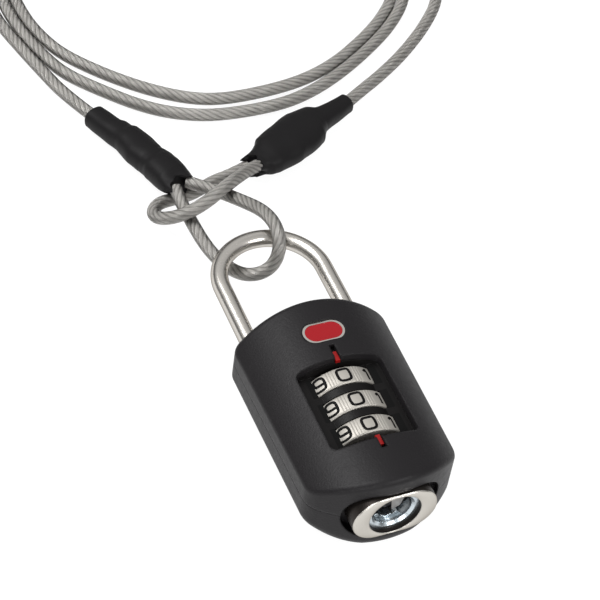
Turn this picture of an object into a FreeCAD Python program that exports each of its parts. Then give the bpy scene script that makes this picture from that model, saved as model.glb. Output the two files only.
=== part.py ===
import FreeCAD, Part
import Sketcher
import math
import os

from FreeCAD import Placement, Rotation, Vector

# Cable luggage lock, lying on its back. Millimetres, X across the lock, Y towards the shackle, Z up
# through the number window. The origin is under the middle of the lock without its cable.

DIMENSIONS = {
    # case
    "case_half_width": 15.75,
    "side_lean": 0.02,
    "case_height": 20.0,
    "seam_height": 10.0,
    "crown_radius": 21.4,
    "back_crown_radius": 26.0,
    "back_land_drop": 0.4,
    "top_y": 9.2,
    "top_radius": 56.5,
    "bottom_y": -37.0,
    "bottom_radius": 20.6,
    "wall": 1.4,
    "front_round": 1.2,
    "back_round": 3.0,
    "top_corner_round": 2.4,
    "bottom_corner_round": 4.8,
    # dials
    "dial_row_y": -15.9,
    "dial_pitch": 6.1,
    "dial_radius": 8.45,
    "dial_width": 3.9,
    "dial_axis_height": 10.3,
    "dial_bore_radius": 4.6,
    "digit_groove_radius": 0.45,
    "sleeve_tube_radius": 4.5,
    "sleeve_tube_bore": 2.6,
    "sleeve_tube_width": 4.7,
    "spindle_radius": 2.4,
    "spindle_length": 20.0,
    # number window
    "window_y": -16.25,
    "window_half_width": 8.45,
    "window_half_length": 9.2,
    "window_corner": 1.0,
    "frame_floor_top": 16.47,
    "frame_floor_under": 15.25,
    "dial_clearance": 0.25,
    "bar_width": 1.9,
    # index marks and badge
    "mark_groove_width": 1.1,
    "mark_groove_length": 3.4,
    "mark_groove_floor": 18.7,
    "mark_width": 0.9,
    "mark_length": 2.3,
    "mark_thick": 0.7,
    "badge_y": 0.7,
    "badge_half_length": 4.3,
    "badge_half_width": 2.6,
    "badge_floor": 18.9,
    "badge_thick": 0.75,
    "badge_rim_width": 0.45,
    # shackle
    "rod_radius": 1.8,
    "leg_offset": 11.0,
    "leg_bore_radius": 1.88,
    "arch_centre_y": 24.6,
    "long_leg_end_y": -18.0,
    "short_leg_end_y": -1.1,
    "retainer_y": -16.3,
    "latch_y": 1.0,
    "retainer_thick": 0.6,
    "retainer_radius": 2.15,
    "neck_radius": 1.35,
    # key end
    "key_axis_height": 10.0,
    "plate_face_y": -37.4,
    "plate_thick": 4.4,
    "plate_half_length": 8.5,
    "plate_half_height": 5.7,
    "recess_half_length": 9.9,
    "recess_half_height": 6.2,
    "recess_floor_y": -33.0,
    "ring_outer_radius": 5.2,
    "ring_inner_radius": 3.85,
    "ring_face_y": -36.4,
    "ring_depth": 3.5,
    "barrel_radius": 5.2,
    "plug_radius": 4.15,
    "plug_bore_radius": 4.22,
    "plug_front_y": -32.9,
    "plug_rear_y": -26.3,
    # cable
    "cable_diameter": 2.8,
    "coil_x": 25.2,
    "coil_y": 132.4,
    "coil_outer_radius": 54.0,
    "coil_inner_radius": 42.0,
    "coil_thick": 5.6,
    "crimp_length": 12.0,
}

DOCUMENT = FreeCAD.newDocument("cable_luggage_lock")
SHEET = DOCUMENT.addObject("Spreadsheet::Sheet", "Dims")
for row_number, (alias, value) in enumerate(DIMENSIONS.items(), start=1):
    SHEET.set(f"A{row_number}", alias)
    SHEET.set(f"B{row_number}", str(value))
    SHEET.setAlias(f"B{row_number}", alias)
DOCUMENT.recompute()

NODES = []
AXIS_TURNS = {
    "X": Rotation(Vector(0, 1, 0), 90),
    "Y": Rotation(Vector(1, 0, 0), -90),
    "Z": Rotation(),
}


def dim(alias):
    """A driving dimension, for the places where a bound expression can't be used."""
    return float(SHEET.get(alias))


def formula(text):
    """The text with every alias written as a reference to the sheet."""
    words = str(text).replace("(", " ( ").replace(")", " ) ").split()
    return " ".join(f"Dims.{word}" if word in DIMENSIONS else word for word in words)


def bind(thing, **properties):
    for name, text in properties.items():
        thing.setExpression(name.replace("__", "."), formula(text))
    return thing


def place(thing, x, y, z, axis="Z"):
    thing.Placement = Placement(Vector(), AXIS_TURNS[axis])
    return bind(thing, Placement__Base__x=x, Placement__Base__y=y, Placement__Base__z=z)


def box(name, x, y, z, long_x, long_y, long_z):
    """A box from its lowest corner and its three sides."""
    solid = DOCUMENT.addObject("Part::Box", name)
    bind(solid, Length=long_x, Width=long_y, Height=long_z)
    return place(solid, x, y, z)


def centred_box(name, x, y, z, long_x, long_y, long_z):
    corner = [f"{at} - ( {side} ) / 2" for at, side in ((x, long_x), (y, long_y), (z, long_z))]
    return box(name, *corner, long_x, long_y, long_z)


def rod(name, radius, length, x, y, z, axis="Y"):
    """A cylinder that starts at x, y, z and runs along the axis."""
    solid = DOCUMENT.addObject("Part::Cylinder", name)
    bind(solid, Radius=radius, Height=length)
    return place(solid, x, y, z, axis)


def cone(name, radius, far_radius, length, x, y, z, axis="Y"):
    solid = DOCUMENT.addObject("Part::Cone", name)
    bind(solid, Radius1=radius, Radius2=far_radius, Height=length)
    return place(solid, x, y, z, axis)


def cut(name, base, tool):
    result = DOCUMENT.addObject("Part::Cut", name)
    result.Base = base
    result.Tool = tool
    return result


def joined(name, *shapes):
    result = DOCUMENT.addObject("Part::MultiFuse", name)
    result.Shapes = list(shapes)
    result.Refine = True
    return result


def shared(name, *shapes):
    result = DOCUMENT.addObject("Part::MultiCommon", name)
    result.Shapes = list(shapes)
    return result


def group(name, *shapes):
    """Separate solids that are one node."""
    result = DOCUMENT.addObject("Part::Compound", name)
    result.Links = list(shapes)
    return result


def rounded(name, base, choose, radius_of):
    """Rounds the edges of base for which choose(edge) is true, each by radius_of(edge)."""
    DOCUMENT.recompute()
    result = DOCUMENT.addObject("Part::Fillet", name)
    result.Base = base
    chosen = [(number, edge) for number, edge in enumerate(base.Shape.Edges, start=1) if choose(edge)]
    result.Edges = [(number, radius_of(edge), radius_of(edge)) for number, edge in chosen]
    return result


def node(thing, label):
    thing.Label = label
    NODES.append(thing)
    return thing


def stadium(name, half_length, half_height, y, thick):
    """A flat plate across the key axis with round ends, from y towards +Y."""
    middle = f"( {half_length} ) - ( {half_height} )"
    bar = box(f"{name}_bar", f"0 - ( {middle} )", y, f"key_axis_height - ( {half_height} )",
              f"2 * ( {middle} )", thick, f"2 * ( {half_height} )")
    ends = [rod(f"{name}_end_{side}", half_height, thick, f"{sign} * ( {middle} )", y, "key_axis_height")
            for side, sign in (("left", -1), ("right", 1))]
    return joined(name, bar, *ends)


def upright_stadium(name, half_length, half_width, y, z, thick):
    """A flat plate that faces up, long across the lock, with round ends."""
    middle = f"( {half_length} ) - ( {half_width} )"
    bar = box(f"{name}_bar", f"0 - ( {middle} )", f"{y} - ( {half_width} )", z,
              f"2 * ( {middle} )", f"2 * ( {half_width} )", thick)
    ends = [rod(f"{name}_end_{side}", half_width, thick, f"{sign} * ( {middle} )", y, z, "Z")
            for side, sign in (("left", -1), ("right", 1))]
    return joined(name, bar, *ends)


# ---------------------------------------------------------------- case

def case_envelope(name, inset):
    """The lock's outer form, or the same form drawn in by a wall: a domed outline under two crowns."""
    bottom_arc = rod(f"{name}_bottom", f"bottom_radius - {inset}", "30", "0",
                     "bottom_y + bottom_radius", "-5", "Z")
    upper = box(f"{name}_upper", "-20", "bottom_y + bottom_radius - 6", "-5", "40", "50", "30")
    outline = joined(f"{name}_outline", bottom_arc, upper)
    sides = DOCUMENT.addObject("Part::Wedge", f"{name}_sides")
    half_widths = [f"case_half_width - {inset} + side_lean * {y}" for y in ("( 0 - 50 )", "30")]
    bind(sides, Ymin="0 - 50", Ymax="30", Zmin="0 - 5", Z2min="0 - 5", Zmax="25", Z2max="25",
         Xmin=f"0 - ( {half_widths[0]} )", Xmax=half_widths[0],
         X2min=f"0 - ( {half_widths[1]} )", X2max=half_widths[1])
    top_arc = rod(f"{name}_top", f"top_radius - {inset}", "30", "0", "top_y - top_radius", "-5", "Z")
    front_crown = rod(f"{name}_front_crown", f"crown_radius - {inset}", "90", "0", "-60",
                      "case_height - crown_radius")
    back_crown = rod(f"{name}_back_crown", f"back_crown_radius - {inset}", "90", "0", "-60",
                     "back_crown_radius - back_land_drop")
    floor = box(f"{name}_floor", "-20", "-60", inset, "40", "90", "30")
    return shared(f"{name}_envelope", outline, sides, top_arc, front_crown, back_crown, floor)


def on_corner(edge):
    """The upright edges where the sides meet the top and the bottom."""
    return edge.BoundBox.ZLength > 2 and edge.BoundBox.XLength < 0.1 and edge.BoundBox.YLength < 0.1


def corner_radius(edge):
    return dim("top_corner_round" if edge.BoundBox.Center.y > 0 else "bottom_corner_round")


def on_front_rim(edge):
    """Edges that run round the front crown."""
    low = edge.BoundBox.ZMin
    return low > 12.0 and edge.BoundBox.ZMax <= dim("case_height") + 0.01


def on_back_rim(edge):
    """Edges that run round the back crown, without those along its flat land."""
    limits = edge.BoundBox
    along_land = limits.ZMax < 0.1 and limits.XLength < 0.1
    return limits.ZMax < 8.0 and not along_land


def window_prism():
    """The opening over the dials: a rounded rectangle that widens upwards."""
    sketch = DOCUMENT.addObject("Sketcher::SketchObject", "window_outline")
    half_x = dim("window_half_width")
    half_y = dim("window_half_length")
    corner = dim("window_corner")
    centre_y = dim("window_y")
    turns = ((1, 1, 0), (-1, 1, 90), (-1, -1, 180), (1, -1, 270))
    centres = [Vector(sx * (half_x - corner), centre_y + sy * (half_y - corner), 0) for sx, sy, _ in turns]
    for centre, (_, _, start) in zip(centres, turns):
        circle = Part.Circle(centre, Vector(0, 0, 1), corner)
        sketch.addGeometry(Part.ArcOfCircle(circle, math.radians(start), math.radians(start + 90)))
    for index, (sx, sy, start) in enumerate(turns):
        here, there = centres[index], centres[(index + 1) % 4]
        out = Vector(math.cos(math.radians(start + 90)), math.sin(math.radians(start + 90)), 0) * corner
        sketch.addGeometry(Part.LineSegment(here + out, there + out))
    for index in range(4):
        sketch.addConstraint(Sketcher.Constraint("Coincident", index, 2, index + 4, 1))
        sketch.addConstraint(Sketcher.Constraint("Coincident", index + 4, 2, (index + 1) % 4, 1))
    place(sketch, "0", "0", "frame_floor_top")
    prism = DOCUMENT.addObject("Part::Extrusion", "window_prism")
    prism.Base = sketch
    prism.Dir = Vector(0, 0, 1)
    prism.LengthFwd = 5
    prism.Solid = True
    prism.TaperAngle = 14
    return prism


SCREW_SEATS = (("0", "5.4", "0.7"), ("-11.6", "-28.3", "3.6"), ("11.6", "-28.3", "3.6"))


def build_case():
    raw_outside = case_envelope("outer", "0")
    rough = rounded("outer_corners", raw_outside, on_corner, corner_radius)
    front_round = rounded("outer_front", rough, on_front_rim, lambda edge: dim("front_round"))
    outside = rounded("outer_form", front_round, on_back_rim, lambda edge: dim("back_round"))
    inside = case_envelope("inner", "wall")
    window = window_prism()
    recess = stadium("key_recess", "recess_half_length", "recess_half_height",
                     "bottom_y - 3", "recess_floor_y - bottom_y + 3")
    end_wall = box("key_end_wall", "-20", "bottom_y - 2", "0", "40",
                   "recess_floor_y + wall - bottom_y + 2", "25")
    barrel_hole = rod("barrel_hole", "barrel_radius", "8", "0", "-36", "key_axis_height")
    leg_holes = [rod(f"leg_hole_{side}", "leg_bore_radius", "20", f"{sign} * leg_offset", "0", "seam_height")
                 for side, sign in (("left", -1), ("right", 1))]
    cavity = cut("case_cavity", inside, end_wall)
    front_half = box("front_half", "-25", "-60", "seam_height", "50", "90", "30")
    back_half = box("back_half", "-25", "-60", "-5", "50", "90", "seam_height + 5")

    grooves = [
        box(f"mark_groove_{end}", "0 - mark_groove_width / 2", start, "mark_groove_floor",
            "mark_groove_width", "mark_groove_length + 1.5", "3")
        for end, start in (("top", "window_y + window_half_length - 0.9"),
                           ("bottom", "window_y - window_half_length - mark_groove_length"))
    ]
    badge_pocket = upright_stadium("badge_pocket", "badge_half_length", "badge_half_width",
                                   "badge_y", "badge_floor", "3")
    posts = [rod(f"screw_post_{number}", "1.9", "30", x, y, "-5", "Z")
             for number, (x, y, _) in enumerate(SCREW_SEATS, start=1)]
    hollow = cut("case_hollow", cavity, joined("screw_posts", *posts))
    shell = cut("case_shell", outside, hollow)
    openings = joined("case_openings", recess, barrel_hole, *leg_holes)

    front_tools = joined("front_tools", openings, window, badge_pocket, *grooves)
    threads = [rod(f"screw_thread_{number}", "0.8", "9.0", x, y, f"{z} + 1.2", "Z")
               for number, (x, y, z) in enumerate(SCREW_SEATS, start=1)]
    front = cut("case_front_cut", shared("case_front_blank", shell, front_half), front_tools)
    node(cut("case_front", front, joined("screw_threads", *threads)), "case_front")

    clearances = []
    for number, (x, y, z) in enumerate(SCREW_SEATS, start=1):
        clearances.append(rod(f"screw_clearance_{number}", "0.95", "12", x, y, z, "Z"))
        clearances.append(rod(f"screw_counterbore_{number}", "1.6", f"{z} + 5", x, y, "-3.8", "Z"))
    back_tools = joined("back_tools", openings, *clearances)
    node(cut("case_back", shared("case_back_blank", shell, back_half), back_tools), "case_back")
    return outside, inside, window


def build_screws():
    screws = []
    for number, (x, y, z) in enumerate(SCREW_SEATS, start=1):
        shank = rod(f"screw_shank_{number}", "0.8", "8.4", x, y, f"{z} + 1.2", "Z")
        head = rod(f"screw_head_{number}", "1.5", "1.0", x, y, f"{z} + 0.2", "Z")
        slot = centred_box(f"screw_slot_{number}", x, y, f"{z} + 0.3", "3.4", "0.4", "0.6")
        screws.append(cut(f"screw_{number}", joined(f"screw_body_{number}", shank, head), slot))
    node(group("case_screws", *screws), "case_screws")


# ---------------------------------------------------------------- window

def build_window_frame(inside, window):
    block = centred_box("frame_block", "0", "window_y", "17.1", "2 * window_half_width + 2.8",
                        "2 * window_half_length + 2.4", "4.0")
    blank = shared("frame_blank", block, inside)
    slots = []
    for number in (1, 2, 3):
        start = f"dial_row_y + {number - 2} * dial_pitch - dial_width / 2 - dial_clearance"
        slots.append(rod(f"dial_slot_{number}", "dial_radius + dial_clearance",
                         "dial_width + 2 * dial_clearance", "0", start, "dial_axis_height"))
    tray = cut("frame_tray", blank, window)
    bars = []
    for number, shift in ((1, -0.5), (2, 0.5)):
        start = f"dial_row_y + {shift} * dial_pitch - bar_width / 2"
        outer = rod(f"bar_outer_{number}", "dial_radius - 0.3", "bar_width", "0", start, "dial_axis_height")
        bore = rod(f"bar_bore_{number}", "dial_radius - 1.9", "bar_width", "0", start, "dial_axis_height")
        arch = cut(f"bar_ring_{number}", outer, bore)
        keep = centred_box(f"bar_keep_{number}", "0", "dial_row_y", "18", "16", "20", "5.8")
        bars.append(shared(f"bar_{number}", arch, keep))
    frame = joined("frame_with_bars", tray, *bars)
    node(cut("window_frame", frame, joined("dial_slots", *slots)), "window_frame")


def build_marks_and_badge():
    marks = [
        box(f"mark_{end}", "0 - mark_width / 2", start, "mark_groove_floor",
            "mark_width", "mark_length", "mark_thick")
        for end, start in (("top", "window_y + window_half_length + 0.35"),
                           ("bottom", "window_y - window_half_length - mark_length"))
    ]
    node(group("index_marks", *marks), "index_marks")
    whole = upright_stadium("badge_whole", "badge_half_length - 0.05", "badge_half_width - 0.05",
                            "badge_y", "badge_floor", "badge_thick")
    hollow = upright_stadium("badge_hollow", "badge_half_length - 0.05 - badge_rim_width",
                             "badge_half_width - 0.05 - badge_rim_width", "badge_y", "badge_floor + 0.2", "3")
    inlay = upright_stadium("badge_inlay", "badge_half_length - 0.05 - badge_rim_width",
                            "badge_half_width - 0.05 - badge_rim_width", "badge_y", "badge_floor + 0.2",
                            "badge_thick - 0.3")
    node(cut("badge_rim", whole, hollow), "badge_rim")
    node(inlay, "badge_inlay")


# ---------------------------------------------------------------- dials

def circle_pad(name, radii, length, y):
    """A body padded along Y from a sketch of circles about the dial axis."""
    body = DOCUMENT.addObject("PartDesign::Body", f"{name}_body")
    sketch = body.newObject("Sketcher::SketchObject", f"{name}_sketch")
    plane = [item for item in body.Origin.OriginFeatures if item.Role == "XZ_Plane"][0]
    sketch.AttachmentSupport = [(plane, "")]
    sketch.MapMode = "FlatFace"
    for index, radius in enumerate(radii):
        sketch.addGeometry(Part.Circle(Vector(0, 0, 0), Vector(0, 0, 1), index + 1.0))
        sketch.addConstraint(Sketcher.Constraint("Coincident", index, 3, -1, 1))
        sketch.addConstraint(Sketcher.Constraint("Radius", index, index + 1.0))
        constraint = len(sketch.Constraints) - 1
        sketch.renameConstraint(constraint, f"radius_{index}")
        sketch.setExpression(f"Constraints.radius_{index}", formula(radius))
    pad = body.newObject("PartDesign::Pad", f"{name}_pad")
    pad.Profile = sketch
    pad.Midplane = True
    bind(pad, Length=length)
    body.Placement = Placement(Vector(), Rotation())
    bind(body, Placement__Base__y=y, Placement__Base__z="dial_axis_height")
    return body, pad, sketch


def build_dials():
    for number in (1, 2, 3):
        middle = f"dial_row_y + {2 - number} * dial_pitch"
        body, pad, _ = circle_pad(f"dial_{number}", ("dial_radius", "dial_bore_radius"), "dial_width", middle)
        notch = body.newObject("Sketcher::SketchObject", f"dial_{number}_notch_sketch")
        plane = [item for item in body.Origin.OriginFeatures if item.Role == "XZ_Plane"][0]
        notch.AttachmentSupport = [(plane, "")]
        notch.MapMode = "FlatFace"
        step = math.radians(18)
        reach = dim("dial_radius") + 0.25
        centre = Vector(reach * math.sin(step), reach * math.cos(step), 0)
        notch.addGeometry(Part.Circle(centre, Vector(0, 0, 1), dim("digit_groove_radius")))
        pocket = body.newObject("PartDesign::Pocket", f"dial_{number}_notch")
        pocket.Profile = notch
        pocket.Midplane = True
        bind(pocket, Length="dial_width + 1")
        DOCUMENT.recompute()
        pattern = body.newObject("PartDesign::PolarPattern", f"dial_{number}_notches")
        pattern.Originals = [pocket]
        pattern.Axis = (notch, ["N_Axis"])
        pattern.Angle = 360
        pattern.Occurrences = 10
        body.Tip = pattern
        node(body, f"dial_{number}")
        code_sleeve, _, _ = circle_pad(f"dial_sleeve_{number}", ("sleeve_tube_radius", "sleeve_tube_bore"),
                                       "sleeve_tube_width", middle)
        node(code_sleeve, f"dial_sleeve_{number}")


def build_spindle():
    start = "dial_row_y - spindle_length / 2 + 1.4"
    shaft = rod("spindle_shaft", "spindle_radius", "spindle_length", "0", start, "dial_axis_height")
    grooves = []
    for number in (1, 2, 3):
        ring_y = f"dial_row_y + {number - 2} * dial_pitch - 0.6"
        ring = rod(f"spindle_ring_{number}", "spindle_radius + 1", "1.2", "0", ring_y, "dial_axis_height")
        core = rod(f"spindle_core_{number}", "spindle_radius - 0.6", "1.2", "0", ring_y, "dial_axis_height")
        grooves.append(cut(f"spindle_groove_{number}", ring, core))
    node(cut("spindle", shaft, joined("spindle_grooves", *grooves)), "spindle")


def build_detent_spring():
    """A leaf beside the dials with one pressed rib for each."""
    leaf = box("detent_leaf", "9.05", "dial_row_y - 9.4", "7.8", "0.3", "18.8", "5.0")
    ribs = [centred_box(f"detent_rib_{number}", "8.92", f"dial_row_y + {number - 2} * dial_pitch", "10.3",
                        "0.4", "2.6", "0.7") for number in (1, 2, 3)]
    foot = box("detent_foot", "8.65", "dial_row_y - 9.7", "7.8", "0.7", "0.5", "5.0")
    node(joined("detent_spring", leaf, foot, *ribs), "detent_spring")


# ---------------------------------------------------------------- frame and locking parts

def build_chassis(inside):
    block = centred_box("chassis_block", "0", "-0.8", "10", "27.4", "9.6", "8.0")
    latch_way = centred_box("chassis_latch_way", "0", "latch_y", "10", "30", "3.4", "3.2")
    bores = [rod(f"chassis_leg_bore_{side}", "leg_bore_radius", "12", f"{sign} * leg_offset", "-8",
                 "seam_height")
             for side, sign in (("left", -1), ("right", 1))]
    spindle_bore = rod("chassis_spindle_bore", "spindle_radius + 0.05", "4", "0", "-8", "dial_axis_height")
    rails = [box(f"chassis_rail_{side}", x, "-26.4", "8.6", "0.6", "21.5", "2.8")
             for side, x in (("left", "-13.9"), ("right", "13.3"))]
    foot = centred_box("chassis_foot", "0", "-28.8", "10", "17.0", "4.8", "11.6")
    seat = centred_box("chassis_spring_seat", "0", "-26.0", "10", "27.0", "0.8", "3.6")
    cam_room = rod("chassis_cam_room", "5.0", "3", "0", "-27.0", "key_axis_height")
    barrel_bore = rod("chassis_barrel_bore", "barrel_radius", "8", "0", "-33", "key_axis_height")
    frame_relief = centred_box("chassis_frame_relief", "0", "-26.7", "15.5", "20", "0.6", "1.6")
    post_notch = rod("chassis_post_notch", "2.0", "20", SCREW_SEATS[0][0], SCREW_SEATS[0][1], "0", "Z")
    body = joined("chassis_body", block, foot, seat, *rails)
    tools = joined("chassis_tools", latch_way, spindle_bore, cam_room, barrel_bore, frame_relief,
                   post_notch, *bores)
    node(cut("chassis", shared("chassis_blank", body, inside), tools), "chassis")


def build_latch():
    bolts = []
    for side, sign in (("left", -1), ("right", 1)):
        body = centred_box(f"latch_body_{side}", f"{sign} * 6.5", "latch_y", "10", "4.2", "3.2", "3.0")
        nose = centred_box(f"latch_nose_{side}", f"{sign} * 8.7", "latch_y", "10", "0.4", "1.6", "2.0")
        bolts.append(joined(f"latch_bolt_{side}", body, nose))
    node(group("latch_bolts", *bolts), "latch_bolts")
    node(spring("latch_spring", 8.76, 1.1, 0.22, 6, Vector(-4.38, dim("latch_y"), 10), "X"), "latch_spring")


def spring(name, length, radius, wire_radius, turns, start, axis):
    """A round-wire compression spring that runs from start along the axis."""
    free = length - 2 * wire_radius
    helix = Part.makeHelix(free / turns, free, radius)
    profile = Part.Wire(Part.Circle(Vector(radius, 0, 0), Vector(0, 1, 0), wire_radius).toShape())
    coil = Part.Wire(helix.Edges).makePipeShell([profile], True, True)
    solid = DOCUMENT.addObject("Part::Feature", name)
    solid.Shape = coil
    turn = AXIS_TURNS[axis]
    solid.Placement = Placement(start + turn.multVec(Vector(0, 0, wire_radius)), turn)
    return solid


def rod_along(wire, radius):
    """A round bar swept along a wire of lines and arcs."""
    start = wire.OrderedEdges[0]
    tangent = start.tangentAt(start.FirstParameter)
    point = wire.OrderedVertexes[0].Point
    profile = Part.Wire(Part.Circle(point, tangent, radius).toShape())
    return wire.makePipeShell([profile], True, False)


def build_shackle():
    offset = dim("leg_offset")
    centre_y = dim("arch_centre_y")
    height = dim("seam_height")
    left_end = Vector(-offset, dim("long_leg_end_y"), height)
    left_top = Vector(-offset, centre_y, height)
    crown = Vector(0, centre_y + offset, height)
    right_top = Vector(offset, centre_y, height)
    right_end = Vector(offset, dim("short_leg_end_y"), height)
    path = Part.Wire([Part.LineSegment(left_end, left_top).toShape(),
                      Part.Arc(left_top, crown, right_top).toShape(),
                      Part.LineSegment(right_top, right_end).toShape()])
    bar = DOCUMENT.addObject("Part::Feature", "shackle_bar")
    bar.Shape = rod_along(path, dim("rod_radius"))
    notches = [centred_box(f"shackle_notch_{side}", f"{sign} * 9.5", "latch_y", "10", "1.2", "2.4", "5.0")
               for side, sign in (("left", -1), ("right", 1))]
    neck_ring = rod("shackle_neck_ring", "rod_radius + 1", "retainer_thick + 0.1", "0 - leg_offset",
                    "retainer_y - 0.05", "seam_height")
    neck_core = rod("shackle_neck_core", "neck_radius", "retainer_thick + 0.1", "0 - leg_offset",
                    "retainer_y - 0.05", "seam_height")
    neck = cut("shackle_neck", neck_ring, neck_core)
    node(cut("shackle", bar, joined("shackle_cuts", neck, *notches)), "shackle")

    clip = rod("retainer_disc", "retainer_radius", "retainer_thick", "0 - leg_offset", "retainer_y",
               "seam_height")
    clip_bore = rod("retainer_bore", "neck_radius", "2", "0 - leg_offset", "retainer_y - 0.5", "seam_height")
    gap = box("retainer_gap", "0 - leg_offset - 0.9", "retainer_y - 0.5", "seam_height", "1.8", "2", "4")
    node(cut("leg_retainer", clip, joined("retainer_cuts", clip_bore, gap)), "leg_retainer")
    node(spring("shackle_spring", 7.2, 1.3, 0.3, 6, Vector(-offset, -25.3, height), "Y"), "shackle_spring")


# ---------------------------------------------------------------- key cylinder

def build_key_end():
    plate = stadium("plate_blank", "plate_half_length", "plate_half_height", "plate_face_y", "plate_thick")
    hole = rod("plate_hole", "ring_outer_radius + 0.02", "6", "0", "plate_face_y - 1", "key_axis_height")
    node(cut("key_plate", plate, hole), "key_plate")

    ring = rod("ring_blank", "ring_outer_radius", "ring_depth", "0", "ring_face_y", "key_axis_height")
    ring_bore = rod("ring_bore", "ring_inner_radius", "ring_depth + 1", "0", "ring_face_y - 0.5",
                    "key_axis_height")
    ring_mouth = cone("ring_mouth", "ring_inner_radius + 0.5", "ring_inner_radius - 0.1", "0.6", "0",
                      "ring_face_y", "key_axis_height")
    node(cut("cylinder_ring", ring, joined("ring_cuts", ring_bore, ring_mouth)), "cylinder_ring")

    length = "plug_rear_y - 0.5 - ring_face_y - ring_depth"
    barrel = rod("barrel_blank", "barrel_radius", length, "0", "ring_face_y + ring_depth", "key_axis_height")
    barrel_bore = rod("barrel_bore", "plug_bore_radius", "12", "0", "ring_face_y", "key_axis_height")
    node(cut("cylinder_housing", barrel, barrel_bore), "cylinder_housing")

    plug = rod("plug_blank", "plug_radius", "plug_rear_y - 0.5 - plug_front_y", "0", "plug_front_y",
               "key_axis_height")
    stub = rod("plug_stub", "3.2", "0.7", "0", "plug_rear_y - 0.5", "key_axis_height")
    mouth = cone("plug_mouth", "3.7", "2.6", "1.4", "0", "plug_front_y", "key_axis_height")
    keyway = centred_box("plug_keyway", "0", "plug_front_y + 2.7", "key_axis_height", "1.4", "5.4", "5.6")
    slots = [centred_box(f"wafer_slot_{number}", "0", f"plug_front_y + {2.1 + 1.2 * number:.1f}",
                         "key_axis_height", "3.4", "0.7", "7.4") for number in range(3)]
    body = joined("plug_body", plug, stub)
    node(cut("key_plug", body, joined("plug_cuts", mouth, keyway, *slots)), "key_plug")

    wafers = []
    for number in range(3):
        y = f"plug_front_y + {2.1 + 1.2 * number:.1f}"
        plate = centred_box(f"wafer_plate_{number}", "0", y, "key_axis_height", "3.2", "0.6", "7.2")
        window = centred_box(f"wafer_window_{number}", "0", y, "key_axis_height", "1.6", "1", "5.7")
        wafers.append(cut(f"wafer_{number}", plate, window))
    node(group("wafers", *wafers), "wafers")

    clip = rod("clip_disc", "4.7", "0.4", "0", "plug_rear_y - 0.45", "key_axis_height")
    clip_bore = rod("clip_bore", "3.2", "2", "0", "plug_rear_y - 1.0", "key_axis_height")
    clip_gap = box("clip_gap", "-1.6", "plug_rear_y - 1.0", "key_axis_height", "3.2", "2", "6")
    node(cut("retaining_clip", clip, joined("clip_cuts", clip_bore, clip_gap)), "retaining_clip")

    hub = rod("cam_hub", "2.6", "0.9", "0", "plug_rear_y + 0.2", "key_axis_height")
    lug = box("cam_lug", "0", "plug_rear_y + 0.2", "key_axis_height - 1.1", "4.3", "0.9", "2.2")
    node(joined("tail_cam", hub, lug), "tail_cam")


# ---------------------------------------------------------------- cable

# Route points of the cable's free stretches, from where each leaves its crimp sleeve.
LOOP_LEFT = ((-5.7, 59.9, 5.2), (-3.5, 57.9, 5.2), (-0.9, 55.0, 5.9), (1.3, 51.3, 7.0), (2.8, 47.2, 8.8),
             (3.7, 43.0, 11.0), (4.0, 39.0, 12.9), (4.0, 35.0, 14.0), (3.8, 31.9, 13.4), (3.2, 29.9, 11.0),
             (1.7, 29.1, 8.2), (-0.8, 29.5, 6.2), (-3.5, 31.2, 5.0), (-5.7, 34.3, 4.6), (-7.3, 38.4, 4.5),
             (-8.1, 42.8, 4.5), (-8.4, 47.2, 4.5), (-8.6, 51.8, 4.5), (-8.8, 55.8, 4.9), (-8.6, 58.8, 5.1))
LOOP_RIGHT = ((11.0, 60.9, 4.7), (8.0, 59.0, 5.9), (4.8, 56.1, 7.8), (1.4, 52.9, 9.8), (-2.0, 50.3, 10.6),
              (-5.2, 48.9, 9.9), (-8.4, 48.6, 8.3), (-11.3, 49.6, 6.3), (-13.5, 51.6, 4.2),
              (-14.6, 54.3, 2.4), (-14.2, 57.0, 1.5), (-12.1, 58.9, 1.42), (-9.0, 59.2, 1.42),
              (-5.4, 59.4, 1.42), (-2.0, 60.5, 1.42), (1.6, 62.0, 1.42), (5.6, 62.4, 1.8), (9.9, 63.0, 2.9))
LEAD_LEFT = ((-17.5, 86.8, 2.8), (-19.7, 94.0, 2.3), (-21.8, 100.0, 1.7), (-23.4, 106.2, 1.42),
             (-24.6, 111.5, 1.42))
LEAD_RIGHT = ((38.7, 76.3, 2.6), (43.1, 79.2, 2.1), (47.0, 82.0, 1.6), (51.2, 85.1, 1.42))

# Each sleeve: its end at the eye, its end at the cable, then rings across it, each with its share of
# the length, how far it sits off the straight line, its half width and its half height.
SLEEVE_LEFT = (Vector(-7.46, 59.3, 5.2), Vector(-17.5, 86.8, 2.8),
               ((0.0, -0.1, 3.3, 2.15), (0.05, -0.1, 3.8, 2.4), (0.18, -0.4, 4.05, 3.0),
                (0.34, -0.5, 3.55, 2.9), (0.48, -0.6, 3.85, 3.05), (0.65, -0.9, 3.5, 2.9),
                (0.78, -0.3, 2.95, 2.6), (1.0, 0.0, 2.7, 2.5)))
SLEEVE_RIGHT = (Vector(10.27, 61.9, 3.8), Vector(38.7, 76.3, 2.6),
                ((0.0, 0.0, 2.6, 2.3), (0.08, -0.5, 3.4, 2.5), (0.18, -0.2, 4.7, 3.0),
                 (0.34, -0.1, 5.5, 3.2), (0.56, 0.35, 5.4, 3.0), (0.68, 0.8, 3.9, 2.75),
                 (0.76, 0.2, 2.8, 2.5), (1.0, 0.0, 2.1, 2.1)))
CRIMPS = {"left": (-0.4, 2.7, 2.3), "right": (0.0, 4.2, 2.5)}


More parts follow.
